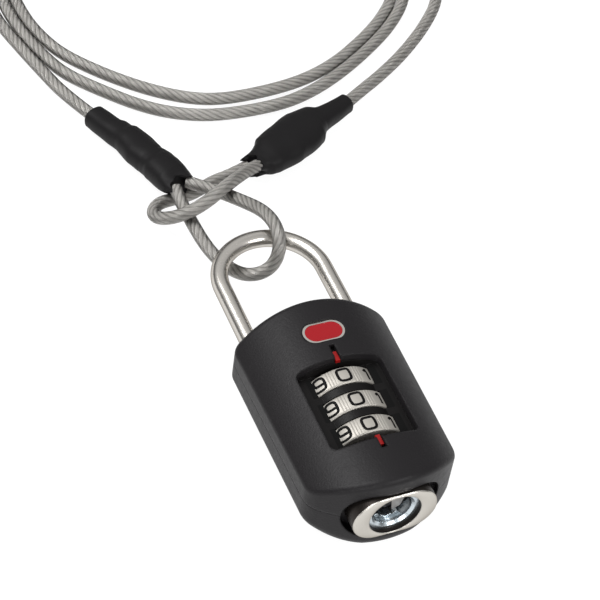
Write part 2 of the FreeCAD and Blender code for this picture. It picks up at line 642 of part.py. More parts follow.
def route_wire(name, points):
    """Straight runs joined by the largest arcs that their lengths allow; prints the arc radii."""
    corners = [Vector(*point) for point in points]
    edges, radii = [], []
    here = corners[0]
    for before, corner, after in zip(corners, corners[1:], corners[2:]):
        arriving = (corner - before).normalize()
        leaving = (after - corner).normalize()
        half_turn = arriving.getAngle(leaving) / 2
        reach = 0.45 * min((corner - before).Length, (after - corner).Length)
        radius = reach / math.tan(half_turn)
        arc_start = corner - arriving * reach
        arc_end = corner + leaving * reach
        inward = (leaving - arriving).normalize()
        arc_middle = corner + inward * (radius / math.cos(half_turn) - radius)
        edges.append(Part.LineSegment(here, arc_start).toShape())
        edges.append(Part.Arc(arc_start, arc_middle, arc_end).toShape())
        radii.append(round(radius, 1))
        here = arc_end
    edges.append(Part.LineSegment(here, corners[-1]).toShape())
    wire = Part.Wire(edges)
    print(name, "length", round(wire.Length, 1), "arc radii", radii)
    return wire


def cable_tube(name, points):
    wire = route_wire(name, points)
    radius = dim("cable_diameter") / 2
    solid = rod_along(wire, radius)
    expected = math.pi * radius ** 2 * wire.Length
    if abs(solid.Volume / expected - 1) > 0.02:
        raise RuntimeError(f"{name}: volume {solid.Volume:.1f}, expected {expected:.1f}")
    tube = DOCUMENT.addObject("Part::Feature", name)
    tube.Shape = solid
    node(tube, name)


def along_sleeve(start, end):
    """A placement at start with local Z along the sleeve and local X level, across it."""
    forward = (end - start).normalize()
    across = Vector(0, 0, 1).cross(forward).normalize()
    up = forward.cross(across)
    turn = Rotation(across, up, forward, "XYZ")
    return Placement(start, turn)


def oval(name, half_across, half_up, placement):
    """An ellipse across the sleeve; the ellipse's own long axis is turned to the wider way."""
    shape = DOCUMENT.addObject("Part::Ellipse", name)
    shape.MajorRadius = max(half_across, half_up)
    shape.MinorRadius = min(half_across, half_up)
    quarter = Rotation(Vector(0, 0, 1), 0 if half_across >= half_up else 90)
    shape.Placement = placement.multiply(Placement(Vector(), quarter))
    return shape


def oval_loft(name, stations, base):
    """A solid through ovals across an axis: each (distance, offset across, half width, half height)."""
    sections = []
    for number, (distance, offset, across, up) in enumerate(stations):
        at = base.multiply(Placement(Vector(offset, 0, distance), Rotation()))
        sections.append(oval(f"{name}_section_{number}", across, up, at))
    loft = DOCUMENT.addObject("Part::Loft", name)
    loft.Sections = sections
    loft.Solid = True
    loft.Ruled = True
    return loft


def build_crimp(side, start, end, stations):
    """A crimp ferrule with the strands swaged into it, inside a shrink sleeve."""
    base = along_sleeve(start, end)
    length = (end - start).Length
    rings = [(share * length, *ring) for share, *ring in stations]
    skin = oval_loft(f"sleeve_{side}_skin", rings, base)
    first = 0.19 * length
    ends = ((first, *CRIMPS[side]), (first + dim("crimp_length"), *CRIMPS[side]))
    crimp = oval_loft(f"ferrule_{side}", ends, base)
    node(crimp, f"ferrule_{side}")
    node(cut(f"sleeve_{side}", skin, crimp), f"sleeve_{side}")


def build_cable():
    cable_tube("cable_loop_left", LOOP_LEFT)
    cable_tube("cable_loop_right", LOOP_RIGHT)
    cable_tube("cable_lead_left", LEAD_LEFT)
    cable_tube("cable_lead_right", LEAD_RIGHT)
    outer = rod("coil_outer", "coil_outer_radius", "coil_thick", "coil_x", "coil_y", "0", "Z")
    inner = rod("coil_inner", "coil_inner_radius", "coil_thick + 2", "coil_x", "coil_y", "-1", "Z")
    node(cut("cable_coil", outer, inner), "cable_coil")
    build_crimp("left", *SLEEVE_LEFT)
    build_crimp("right", *SLEEVE_RIGHT)


# ---------------------------------------------------------------- build, check and write

case_outside, case_inside, window_opening = build_case()
build_screws()
build_window_frame(case_inside, window_opening)
build_marks_and_badge()
build_dials()
build_spindle()
build_detent_spring()
build_chassis(case_inside)
build_latch()
build_shackle()
build_key_end()
build_cable()
DOCUMENT.recompute()

for thing in DOCUMENT.Objects:
    if "Invalid" in thing.State or "Error" in thing.State:
        raise RuntimeError(f"{thing.Name} failed: {thing.State}")
for thing in NODES:
    shape = thing.Shape
    if shape.isNull() or not shape.isValid() or shape.Volume <= 0 or not shape.Solids:
        raise RuntimeError(f"{thing.Label} has no valid solid")

os.makedirs("parts", exist_ok=True)
for thing in NODES:
    thing.Shape.exportStep(os.path.join("parts", f"{thing.Label}.step"))
    limits = thing.Shape.optimalBoundingBox()
    print(f"{thing.Label:18s} solids {len(thing.Shape.Solids)} volume {thing.Shape.Volume:9.1f}"
          f"  x {limits.XMin:6.1f} {limits.XMax:6.1f}  y {limits.YMin:6.1f} {limits.YMax:6.1f}"
          f"  z {limits.ZMin:6.1f} {limits.ZMax:6.1f}")
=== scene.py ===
import math
from types import SimpleNamespace

import bpy
from mathutils import Matrix, Vector


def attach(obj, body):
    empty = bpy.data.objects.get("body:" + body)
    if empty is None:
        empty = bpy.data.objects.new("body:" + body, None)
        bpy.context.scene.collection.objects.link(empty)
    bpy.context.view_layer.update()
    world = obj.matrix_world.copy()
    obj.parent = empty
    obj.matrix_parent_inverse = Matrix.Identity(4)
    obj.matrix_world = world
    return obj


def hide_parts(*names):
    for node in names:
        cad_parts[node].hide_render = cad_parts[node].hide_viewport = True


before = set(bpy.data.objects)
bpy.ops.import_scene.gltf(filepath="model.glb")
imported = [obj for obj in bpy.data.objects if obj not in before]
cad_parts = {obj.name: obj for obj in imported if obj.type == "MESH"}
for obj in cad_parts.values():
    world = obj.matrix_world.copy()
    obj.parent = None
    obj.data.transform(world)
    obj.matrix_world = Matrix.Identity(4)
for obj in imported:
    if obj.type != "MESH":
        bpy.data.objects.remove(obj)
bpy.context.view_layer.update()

# Shapes are in millimetres, and MM turns them into metres. Lamps, floor and finishes are in metres.
MM = 0.001
CASE = "case"
SHACKLE = "shackle_and_cable"
# Each number wheel: its body, its CAD node and where the middle of its width is in y.
DIALS = (("dial_top", "dial_1", -9.8), ("dial_middle", "dial_2", -15.9), ("dial_bottom", "dial_3", -22.0))
SCENE = bpy.context.scene


# ---------------------------------------------------------------- camera, floor and light

def look(position, right, down, forward):
    """The world matrix of an object at position whose view axes are these, in the row frame."""
    turn = Matrix((Vector(right), -Vector(down), -Vector(forward))).transposed().to_4x4()
    return Matrix.Translation(Vector(position) * MM) @ turn


def add_camera():
    """A long lens, above and in front of the lock's foot and a little to its left."""
    data = bpy.data.cameras.new("camera")
    data.lens = 122.34
    data.sensor_width = 36
    data.clip_start = 0.01
    data.clip_end = 50
    camera = bpy.data.objects.new("camera", data)
    SCENE.collection.objects.link(camera)
    camera.matrix_world = look((-129.6, -226.5, 310.3), (0.9227, -0.3704, 0.1063),
                               (-0.2086, -0.7121, -0.6704), (0.3240, 0.5964, -0.7344))
    SCENE.camera = camera


def add_area(name, position, target, size, power):
    """A soft lamp at a position in metres, turned to a target."""
    data = bpy.data.lights.new(name, "AREA")
    data.shape = "RECTANGLE"
    data.size, data.size_y = size
    data.energy = power
    lamp = bpy.data.objects.new(name, data)
    SCENE.collection.objects.link(lamp)
    lamp.location = position
    lamp.rotation_euler = (Vector(target) - Vector(position)).to_track_quat("-Z", "Y").to_euler()


# The studio's grey by height, from the horizon to straight overhead.
SKY_STOPS = ((0.0, 0.55), (0.05, 0.07), (0.30, 0.12), (0.50, 0.54), (0.78, 0.68), (1.0, 0.46))


def add_world():
    """A pale studio with a dark band low over the horizon, so that metal shows dark edges."""
    world = bpy.data.worlds.new("studio")
    SCENE.world = world
    world.use_nodes = True
    nodes, links = world.node_tree.nodes, world.node_tree.links
    nodes.clear()
    out = nodes.new("ShaderNodeOutputWorld")
    background = nodes.new("ShaderNodeBackground")
    background.inputs["Strength"].default_value = 1.0
    coords = nodes.new("ShaderNodeTexCoord")
    split = nodes.new("ShaderNodeSeparateXYZ")
    ramp = nodes.new("ShaderNodeValToRGB")
    for end in (0, -1):
        ramp.color_ramp.elements[end].position = SKY_STOPS[end][0]
        ramp.color_ramp.elements[end].color = (SKY_STOPS[end][1],) * 3 + (1,)
    for at, grey in SKY_STOPS[1:-1]:
        stop = ramp.color_ramp.elements.new(at)
        stop.color = (grey, grey, grey, 1)
    links.new(coords.outputs["Generated"], split.inputs["Vector"])
    links.new(split.outputs["Z"], ramp.inputs["Fac"])
    links.new(ramp.outputs["Color"], background.inputs["Color"])
    links.new(background.outputs["Background"], out.inputs["Surface"])


def add_floor():
    """A plain pale floor just under the lock; its glow keeps it even and its paper takes the shadows."""
    mesh = bpy.data.meshes.new("floor")
    half, height = 3.0, -0.0002
    corners = [(-half, -half, height), (half, -half, height), (half, half, height), (-half, half, height)]
    mesh.from_pydata(corners, [], [(0, 1, 2, 3)])
    floor = bpy.data.objects.new("floor", mesh)
    SCENE.collection.objects.link(floor)
    material = bpy.data.materials.new("floor")
    material.use_nodes = True
    nodes, links = material.node_tree.nodes, material.node_tree.links
    nodes.clear()
    out = nodes.new("ShaderNodeOutputMaterial")
    glow = nodes.new("ShaderNodeEmission")
    glow.inputs["Color"].default_value = (1, 1, 1, 1)
    glow.inputs["Strength"].default_value = 0.93
    paper = nodes.new("ShaderNodeBsdfDiffuse")
    paper.inputs["Color"].default_value = (0.14, 0.14, 0.14, 1)
    both = nodes.new("ShaderNodeAddShader")
    links.new(glow.outputs[0], both.inputs[0])
    links.new(paper.outputs[0], both.inputs[1])
    links.new(both.outputs[0], out.inputs["Surface"])
    mesh.materials.append(material)


def set_up_render():
    """Plain colours, a clean picture and enough bounces for light to pass the clear jackets."""
    SCENE.view_settings.view_transform = "Standard"
    SCENE.view_settings.look = "None"
    SCENE.cycles.use_denoising = True
    SCENE.cycles.transparent_max_bounces = 24
    SCENE.cycles.max_bounces = 8


# ---------------------------------------------------------------- materials

class Shader:
    """A Principled material with small helpers to add noise, bumps and rounded edges."""

    def __init__(self, name, color, metallic=0.0, roughness=0.5, **sockets):
        self.material = bpy.data.materials.new(name)
        self.material.use_nodes = True
        self.tree = self.material.node_tree
        self.base = self.tree.nodes["Principled BSDF"]
        self.base.inputs["Base Color"].default_value = (*color, 1)
        self.base.inputs["Metallic"].default_value = metallic
        self.base.inputs["Roughness"].default_value = roughness
        for socket, value in sockets.items():
            self.base.inputs[socket.replace("_", " ")].default_value = value

    def node(self, kind, **inputs):
        made = self.tree.nodes.new(kind)
        for socket, value in inputs.items():
            made.inputs[socket.replace("_", " ")].default_value = value
        return made

    def link(self, source, target):
        self.tree.links.new(source, target)

    def noise(self, scale, detail=3.0):
        coords = self.node("ShaderNodeTexCoord")
        noise = self.node("ShaderNodeTexNoise", Scale=scale, Detail=detail)
        self.link(coords.outputs["Object"], noise.inputs["Vector"])
        return noise.outputs["Fac"]

    def bump(self, height, distance, strength=1.0, round_edges=0.0):
        bump = self.node("ShaderNodeBump", Strength=strength, Distance=distance)
        self.link(height, bump.inputs["Height"])
        if round_edges:
            rounding = self.node("ShaderNodeBevel", Radius=round_edges)
            self.link(rounding.outputs["Normal"], bump.inputs["Normal"])
        self.link(bump.outputs["Normal"], self.base.inputs["Normal"])
        return self

    def round_edges(self, radius):
        rounding = self.node("ShaderNodeBevel", Radius=radius)
        self.link(rounding.outputs["Normal"], self.base.inputs["Normal"])
        return self

    def vary(self, socket, factor, low, high):
        spread = self.node("ShaderNodeMapRange", To_Min=low, To_Max=high)
        self.link(factor, spread.inputs["Value"])
        self.link(spread.outputs["Result"], self.base.inputs[socket])
        return self

    def tint(self, factor, low, high, between=(0.3, 0.7)):
        ramp = self.node("ShaderNodeValToRGB")
        ramp.color_ramp.elements[0].position = between[0]
        ramp.color_ramp.elements[1].position = between[1]
        ramp.color_ramp.elements[0].color = (*low, 1)
        ramp.color_ramp.elements[1].color = (*high, 1)
        self.link(factor, ramp.inputs["Fac"])
        self.link(ramp.outputs["Color"], self.base.inputs["Base Color"])
        return self


# The share of light that metals keep at grazing angles, which darkens their edges.
EDGE_TINT = (0.30, 0.28, 0.26, 1)


def make_materials():
    """Every finish by name: plastics, paints, metals, the cable's strands and its jacket."""
    made = {}
    case = Shader("case plastic", (0.0105, 0.0095, 0.0105), roughness=0.48, IOR=1.28)
    case.bump(case.noise(2600, 2), 0.00007, 0.6, round_edges=0.0006)
    case.vary("Roughness", case.noise(900, 2), 0.38, 0.52)
    made["case"] = case
    liner = Shader("frame plastic", (0.0045, 0.004, 0.004), roughness=0.42, IOR=1.25)
    liner.bump(liner.noise(2400, 2), 0.00004, 0.5, round_edges=0.00012)
    made["liner"] = liner
    made["red paint"] = Shader("red paint", (0.25, 0.004, 0.004), roughness=0.35, Specular_IOR_Level=0.3)
    made["red enamel"] = Shader("red enamel", (0.28, 0.004, 0.008), roughness=0.3, Specular_IOR_Level=0.3)
    made["black paint"] = Shader("black paint", (0.003, 0.003, 0.003), roughness=0.6, IOR=1.2)
    nickel = Shader("polished nickel", (0.65, 0.622, 0.58), metallic=1.0, roughness=0.26,
                    Specular_Tint=EDGE_TINT)
    nickel.vary("Roughness", nickel.noise(420, 3), 0.2, 0.32)
    made["nickel"] = nickel
    satin = Shader("satin nickel", (0.42, 0.40, 0.365), metallic=0.5, roughness=0.5, Specular_Tint=EDGE_TINT)
    satin.bump(satin.noise(900, 2), 0.00001, 0.3, round_edges=0.00008)
    made["satin"] = satin
    plate = Shader("plate nickel", (0.60, 0.575, 0.53), metallic=1.0, roughness=0.3, Specular_Tint=EDGE_TINT)
    plate.bump(plate.noise(1800, 2), 0.00001, 0.3, round_edges=0.00035)
    made["plate"] = plate
    # Painted shade: a near-black copy of the plate's nickel, for the plate's walls that lie in shade.
    made["painted plate wall shade"] = Shader("painted plate wall shade", (0.03, 0.025, 0.022), metallic=0.8, roughness=0.42)
    zinc = Shader("zinc", (0.60, 0.66, 0.70), metallic=1.0, roughness=0.26, Specular_Tint=EDGE_TINT)
    zinc.bump(zinc.noise(1400, 3), 0.00003, 0.5, round_edges=0.00015)
    made["zinc"] = zinc
    # Painted shade: the plug's metal is made near black, for the shade deep in the keyhole.
    plug = Shader("plug metal in painted shade", (0.07, 0.07, 0.075), metallic=1.0, roughness=0.4, Specular_Tint=EDGE_TINT)
    plug.bump(plug.noise(1500, 3), 0.00004, 0.6, round_edges=0.0001)
    made["plug"] = plug
    facet = Shader("facet metal", (0.34, 0.33, 0.32), metallic=0.7, roughness=0.5, Specular_Tint=EDGE_TINT)
    facet.bump(facet.noise(700, 3), 0.00006, 0.7)
    made["facet"] = facet
    made["brass"] = Shader("brass", (0.72, 0.54, 0.24), metallic=1.0, roughness=0.32)
    made["steel"] = Shader("spring steel", (0.42, 0.42, 0.43), metallic=1.0, roughness=0.35)
    made["crimp"] = Shader("crimp", (0.7, 0.7, 0.72), metallic=1.0, roughness=0.4)
    shrink = Shader("shrink sleeve", (0.0085, 0.008, 0.0085), roughness=0.5, IOR=1.22)
    shrink.bump(shrink.noise(260, 3), 0.0002, 0.45)
    made["shrink"] = shrink
    made["strands"] = strand_material()
    made["coat"] = coat_material()
    return made


def strand_material():
    """Twisted wire: painted glints along the fine wires of each strand, painted shade in the valleys between
    the strands, and random patches of tone.
    """
    wire = Shader("cable strands", (0.5, 0.48, 0.45), metallic=0.45, roughness=0.42, Specular_Tint=EDGE_TINT)
    coords = wire.node("ShaderNodeUVMap")
    coords.uv_map = "wires"
    fine = wire.node("ShaderNodeTexWave", Scale=1.0, Distortion=1.6, Detail=2.0)
    fine.inputs["Detail Scale"].default_value = 2.0
    fine.wave_type = "BANDS"
    fine.bands_direction = "X"
    wire.link(coords.outputs["UV"], fine.inputs["Vector"])
    # Painted shade: this vertex colour darkens the valleys between the strands.
    painted_valley_shade = wire.node("ShaderNodeVertexColor")
    painted_valley_shade.layer_name = "painted_valley_shade"
    # Painted glints: the fine wave lightens and darkens the colour along the single wires.
    glint = wire.node("ShaderNodeMapRange", To_Min=-0.16, To_Max=0.16)
    wire.link(fine.outputs["Fac"], glint.inputs["Value"])
    patch = wire.node("ShaderNodeMapRange", To_Min=-0.3, To_Max=0.3)
    wire.link(wire.noise(420, 4), patch.inputs["Value"])
    total = painted_valley_shade.outputs["Color"]
    for part in (glint, patch):
        added = wire.node("ShaderNodeMath")
        wire.link(total, added.inputs[0])
        wire.link(part.outputs["Result"], added.inputs[1])
        total = added.outputs[0]
    wire.tint(total, (0.225, 0.213, 0.197), (0.80, 0.78, 0.745), between=(0.0, 0.95))
    wire.bump(fine.outputs["Fac"], 0.00008, 0.7)
    return wire


def coat_material():
    """The thin clear jacket over the strands: faint grey, with highlights of its own."""
    material = bpy.data.materials.new("clear jacket")
    material.use_nodes = True
    nodes, links = material.node_tree.nodes, material.node_tree.links
    nodes.clear()
    out = nodes.new("ShaderNodeOutputMaterial")
    clear = nodes.new("ShaderNodeBsdfTransparent")
    clear.inputs["Color"].default_value = (1, 1, 1, 1)
    gloss = nodes.new("ShaderNodeBsdfGlossy")
    gloss.inputs["Color"].default_value = (0.38, 0.37, 0.36, 1)
    gloss.inputs["Roughness"].default_value = 0.3
    rim = nodes.new("ShaderNodeFresnel")
    rim.inputs["IOR"].default_value = 1.35
    mix = nodes.new("ShaderNodeMixShader")
    links.new(rim.outputs[0], mix.inputs[0])
    links.new(clear.outputs[0], mix.inputs[1])
    links.new(gloss.outputs[0], mix.inputs[2])
    links.new(mix.outputs[0], out.inputs["Surface"])
    return SimpleNamespace(material=material)


# ---------------------------------------------------------------- mesh helpers

def add_mesh(name, points, faces, material, body, smooth=True, angle=None):
    """A piece from points in millimetres; angle keeps edges sharper than it, in degrees."""
    mesh = bpy.data.meshes.new(name)
    mesh.from_pydata([tuple(c * MM for c in p) for p in points], [], faces)
    mesh.update()
    piece = bpy.data.objects.new(name, mesh)
    SCENE.collection.objects.link(piece)
    mesh.materials.append(material.material)
    for polygon in mesh.polygons:
        polygon.use_smooth = smooth
    if angle is not None:
        mesh.set_sharp_from_angle(angle=math.radians(angle))
    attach(piece, body)
    return piece


def tube_faces(rings, around, closed_ends=True):
    """Faces of a tube whose points come ring by ring."""
    faces = []
    for ring in range(rings - 1):
        for side in range(around):
            a = ring * around + side
            b = ring * around + (side + 1) % around
            faces.append((a, b, b + around, a + around))
    if closed_ends:
        faces.append(tuple(reversed(range(around))))
        faces.append(tuple(range((rings - 1) * around, rings * around)))
    return faces


def ring_faces(rings, around):
    """Faces of a tube that closes on itself, its last ring joined to its first."""
    last = (rings - 1) * around
    return tube_faces(rings, around, closed_ends=False) + [
        (last + i, last + (i + 1) % around, (i + 1) % around, i) for i in range(around)]


def block_faces(first):
    """Faces of a block whose four points on one side come just before the four on the other."""
    a, b = first, first + 4
    return [(a, a + 1, a + 2, a + 3), (b + 3, b + 2, b + 1, b)] + [
        (a + i, b + i, b + (i + 1) % 4, a + (i + 1) % 4) for i in range(4)]


def moving_frames(line):
    """For each point of a line: its tangent and two cross directions that never twist about it."""
    tangents = []
    for index in range(len(line)):
        before = line[max(index - 1, 0)]
        after = line[min(index + 1, len(line) - 1)]
        tangents.append((after - before).normalized())
    normal = tangents[0].cross(Vector((0, 0, 1)))
    if normal.length < 1e-3:
        normal = tangents[0].cross(Vector((1, 0, 0)))
    normal.normalize()
    frames = []
    for tangent in tangents:
        normal = (normal - tangent * normal.dot(tangent)).normalized()
        frames.append((tangent, normal, tangent.cross(normal)))
    return frames


def evenly(line, step):
    """Points every step along a line of points."""
    out, carried = [line[0]], 0.0
    for a, b in zip(line, line[1:]):
        length = (b - a).length
        while carried + length >= step:
            share = (step - carried) / length
            a = a + (b - a) * share
            length = (b - a).length
            out.append(a)
            carried = 0.0
        carried += length
    out.append(line[-1])
    return out


# ---------------------------------------------------------------- cable

CABLE_RADIUS = 1.4
STRANDS = 7
LAY_LENGTH = 13.5
# How far the strands' middles are from the cable's, and their own radius.
STRAND_RING = 0.92
STRAND_RADIUS = 0.45
# The mesh of the strands: points round the cable, and millimetres between its rings.
STRAND_SIDES = 49
STRAND_STEP = 0.55
# The texture of the single wires, which bumps them and paints glints along them: bands round the cable, and
# their slant and stretch along it.
WIRE_BANDS = 36
WIRE_SLANT = 0.35
WIRE_STRETCH = 0.02

# The same route points as the CAD tubes, in millimetres.
LOOP_LEFT = ((-5.7, 59.9, 5.2), (-3.5, 57.9, 5.2), (-0.9, 55.0, 5.9), (1.3, 51.3, 7.0), (2.8, 47.2, 8.8),
             (3.7, 43.0, 11.0), (4.0, 39.0, 12.9), (4.0, 35.0, 14.0), (3.8, 31.9, 13.4), (3.2, 29.9, 11.0),
             (1.7, 29.1, 8.2), (-0.8, 29.5, 6.2), (-3.5, 31.2, 5.0), (-5.7, 34.3, 4.6), (-7.3, 38.4, 4.5),
             (-8.1, 42.8, 4.5), (-8.4, 47.2, 4.5), (-8.6, 51.8, 4.5), (-8.8, 55.8, 4.9), (-8.6, 58.8, 5.1))
LOOP_RIGHT = ((11.0, 60.9, 4.7), (8.0, 59.0, 5.9), (4.8, 56.1, 7.8), (1.4, 52.9, 9.8), (-2.0, 50.3, 10.6),
              (-5.2, 48.9, 9.9), (-8.4, 48.6, 8.3), (-11.3, 49.6, 6.3), (-13.5, 51.6, 4.2),
              (-14.6, 54.3, 2.4), (-14.2, 57.0, 1.5), (-12.1, 58.9, 1.42), (-9.0, 59.2, 1.42),
              (-5.4, 59.4, 1.42), (-2.0, 60.5, 1.42), (1.6, 62.0, 1.42), (5.6, 62.4, 1.8), (9.9, 63.0, 2.9))

# The coiled run: angle round the coil's middle in degrees, unwound, then radius and height.
COIL_CENTRE = (23.5, 130.0)
COIL_ROUTE = (
    (217, 56.1, 2.2), (207, 52.9, 1.6), (198, 51.7, 1.42), (187, 51.9, 1.42), (180, 51.9, 1.42),
    (150, 52.0, 1.42), (120, 51.8, 1.42), (90, 51.4, 1.42), (60, 50.8, 1.42), (30, 50.2, 1.42),
    (0, 49.8, 1.42), (-26, 49.1, 1.42), (-38, 47.4, 1.42), (-50, 46.1, 1.42),
    (-65, 46.2, 1.42), (-78, 47.6, 1.42), (-89, 48.9, 1.42),
    (-105, 50.3, 1.42), (-115, 50.8, 1.42), (-125, 50.5, 1.42), (-137, 49.6, 1.42), (-148, 50.0, 1.42),
    (-157, 49.2, 1.42), (-168, 48.7, 1.42), (-180, 48.9, 1.42), (-210, 49.0, 1.42), (-240, 48.8, 1.42),
    (-270, 48.5, 1.42), (-300, 47.9, 1.42), (-330, 47.3, 1.42), (-360, 46.9, 1.42), (-386, 46.2, 1.42),
    (-398, 44.5, 1.42), (-410, 43.2, 1.42), (-425, 43.2, 1.42), (-438, 43.5, 1.42), (-451, 43.8, 1.42),
    (-465, 45.2, 1.42), (-475, 45.2, 1.42), (-487, 44.6, 1.42), (-500, 44.5, 1.42), (-513, 45.5, 1.42),
    (-522, 45.7, 1.42), (-532, 45.8, 1.42), (-545, 46.0, 1.42), (-570, 45.9, 1.5), (-590, 46.0, 2.6),
    (-605, 46.9, 4.2), (-622, 48.6, 4.5), (-640, 50.6, 4.5), (-656, 52.4, 4.4), (-672, 54.0, 2.9),
    (-688, 55.2, 1.6), (-705, 56.0, 1.42), (-725, 56.9, 1.42), (-745, 57.0, 1.42), (-756, 54.9, 1.42),
    (-769, 53.4, 1.42), (-781, 53.3, 1.7), (-787, 53.9, 2.2),
)
SLEEVE_LEFT_EXIT = (-17.5, 86.8, 2.8)
SLEEVE_RIGHT_EXIT = (38.7, 76.3, 2.6)
# The curve runs slightly inside its route points, so the coil's points stand this much further out.
COIL_REACH = 1.004
COIL_STEP_DEGREES = 13


def coil_points():
    """The coiled run's route points between the two sleeves."""
    points = [SLEEVE_LEFT_EXIT]
    steps = [COIL_ROUTE[0]]
    for before, after in zip(COIL_ROUTE, COIL_ROUTE[1:]):
        parts = max(1, round(abs(after[0] - before[0]) / COIL_STEP_DEGREES))
        for part in range(1, parts + 1):
            share = part / parts
            steps.append(tuple(a + (b - a) * share for a, b in zip(before, after)))
    for angle, radius, height in steps:
        turn = math.radians(angle)
        points.append((COIL_CENTRE[0] + COIL_REACH * radius * math.cos(turn),
                       COIL_CENTRE[1] + COIL_REACH * radius * math.sin(turn), height))
    points.append(SLEEVE_RIGHT_EXIT)
    return points


def add_curve(name, points, material):
    """An open NURBS tube of the cable's thickness along route points in millimetres."""
    data = bpy.data.curves.new(name, "CURVE")
    data.dimensions = "3D"
    data.resolution_u = 12
    spline = data.splines.new("NURBS")
    spline.points.add(len(points) - 1)
    for point, place in zip(spline.points, points):
        point.co = (*(c * MM for c in place), 1)
    spline.order_u = 3
    spline.use_endpoint_u = True
    curve = bpy.data.objects.new(name, data)
    SCENE.collection.objects.link(curve)
    bpy.context.view_layer.update()
    centre = curve_line(curve)
    data.bevel_depth = CABLE_RADIUS * MM
    data.bevel_resolution = 8
    data.use_fill_caps = True
    data.materials.append(material.material)
    return curve, centre


def curve_line(curve):
    """The evaluated centreline of a curve that has no bevel yet, in millimetres."""
    evaluated = curve.evaluated_get(bpy.context.evaluated_depsgraph_get())
    mesh = bpy.data.meshes.new_from_object(evaluated)
    line = [v.co / MM for v in mesh.vertices]
    bpy.data.meshes.remove(mesh)
    return line


def strand_outline(angle):
    """Distance from the cable's middle to its strands in a direction, and how far that is from a valley,
    which sets the painted shade of the valleys.
    """
    sector = 2 * math.pi / STRANDS
    offset = (angle + sector / 2) % sector - sector / 2
    inside = STRAND_RADIUS ** 2 - (STRAND_RING * math.sin(offset)) ** 2
    distance = STRAND_RING * math.cos(offset) + math.sqrt(max(inside, 0.0))
    edge = abs(offset) / (sector / 2)
    return distance, 1 - edge ** 2


def add_strands(name, centre, material):
    """The twisted strands inside a jacket, along its centreline, with painted shade in the valleys between
    them.
    """
    line = evenly(centre, STRAND_STEP)
    frames = moving_frames(line)
    points, painted_valley_shade, wires = [], [], []
    for index, (place, (_, normal, side)) in enumerate(zip(line, frames)):
        travelled = index * STRAND_STEP
        twist = 2 * math.pi * travelled / LAY_LENGTH
        for part in range(STRAND_SIDES):
            local = 2 * math.pi * part / STRAND_SIDES
            distance, height = strand_outline(local)
            turn = local + twist
            points.append(place + normal * (distance * math.cos(turn)) + side * (distance * math.sin(turn)))
            painted_valley_shade.append(height)
            wires.append((part / STRAND_SIDES, travelled))
    faces = tube_faces(len(line), STRAND_SIDES)
    piece = add_mesh(name, points, faces, material, SHACKLE)
    mesh = piece.data
    # The painted shade of the valleys, kept as a vertex colour for the strand colour.
    colours = mesh.color_attributes.new("painted_valley_shade", "FLOAT_COLOR", "POINT")
    colours.data.foreach_set("color", [c for value in painted_valley_shade for c in (value, value, value, 1.0)])
    layer = mesh.uv_layers.new(name="wires")
    for loop in mesh.loops:
        share, travelled = wires[loop.vertex_index]
        layer.data[loop.index].uv = (share * WIRE_BANDS + travelled * WIRE_SLANT, travelled * WIRE_STRETCH)
    return piece


def add_cable(materials):
    """The coiled run between the sleeves and the two eyes, each a jacket with its strands inside."""
    runs = (
        ("cable_main", coil_points(), SLEEVE_LEFT_EXIT,
         ("cable_coil", "cable_lead_left", "cable_lead_right")),
        ("cable_eye_left", LOOP_LEFT, LOOP_LEFT[0], ("cable_loop_left",)),
        ("cable_eye_right", LOOP_RIGHT, LOOP_RIGHT[0], ("cable_loop_right",)),
    )
    for name, points, exit_point, nodes in runs:
        jacket, centre = add_curve(name, points, materials["coat"])
        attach(jacket, SHACKLE)
        strands = add_strands(f"{name}_strands", centre, materials["strands"])
        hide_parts(*nodes)


# ---------------------------------------------------------------- shrink sleeves

# Each sleeve: its end at the eye, its end at the cable, then rings: the share of its length, how far the
# ring sits off the straight line, its half width and half height.
SLEEVES = {
    "left": ((-7.46, 59.3, 5.2), (-17.5, 86.8, 2.8),
             ((0.0, -0.1, 3.3, 2.15), (0.05, -0.1, 3.8, 2.4), (0.10, -0.2, 3.9, 2.9), (0.18, -0.4, 4.05, 3.0),
              (0.26, -0.5, 3.95, 3.1), (0.30, -0.55, 3.7, 2.95), (0.35, -0.4, 3.5, 2.9),
              (0.38, -0.45, 3.65, 3.0), (0.48, -0.6, 3.85, 3.05), (0.60, -0.85, 3.65, 3.0),
              (0.65, -0.95, 3.5, 2.9), (0.69, -0.6, 3.15, 2.7), (0.75, -0.5, 3.15, 2.65),
              (0.79, -0.2, 2.85, 2.6), (1.0, 0.0, 2.7, 2.5))),
    "right": ((10.27, 61.9, 3.8), (38.7, 76.3, 2.6),
              ((0.0, 0.0, 2.6, 2.3), (0.05, -0.2, 2.9, 2.35), (0.09, -0.6, 3.6, 2.55),
               (0.15, -0.5, 4.35, 2.9), (0.19, -0.1, 4.95, 3.0), (0.33, -0.1, 5.5, 3.2),
               (0.45, 0.15, 5.5, 3.15), (0.54, 0.35, 5.5, 3.05), (0.60, 0.3, 5.1, 2.95),
               (0.65, 0.7, 4.3, 2.85), (0.69, 0.95, 3.8, 2.75), (0.74, 0.3, 2.95, 2.55),
               (0.78, 0.15, 2.7, 2.45), (0.86, 0.0, 2.4, 2.3), (1.0, 0.0, 2.1, 2.1))),
}


def ring_between(rings, share):
    """Offset, half width and half height at a share of the sleeve, partly eased between its rings."""
    for before, after in zip(rings, rings[1:]):
        if share <= after[0]:
            t = (share - before[0]) / (after[0] - before[0])
            t = 0.85 * t + 0.15 * t * t * (3 - 2 * t)
            return tuple(a + (b - a) * t for a, b in zip(before[1:], after[1:]))
    return rings[-1][1:]


def boxy(value, flatness=0.82):
    """Bends a sine or cosine so that the oval it draws has flatter sides."""
    return math.copysign(abs(value) ** flatness, value)


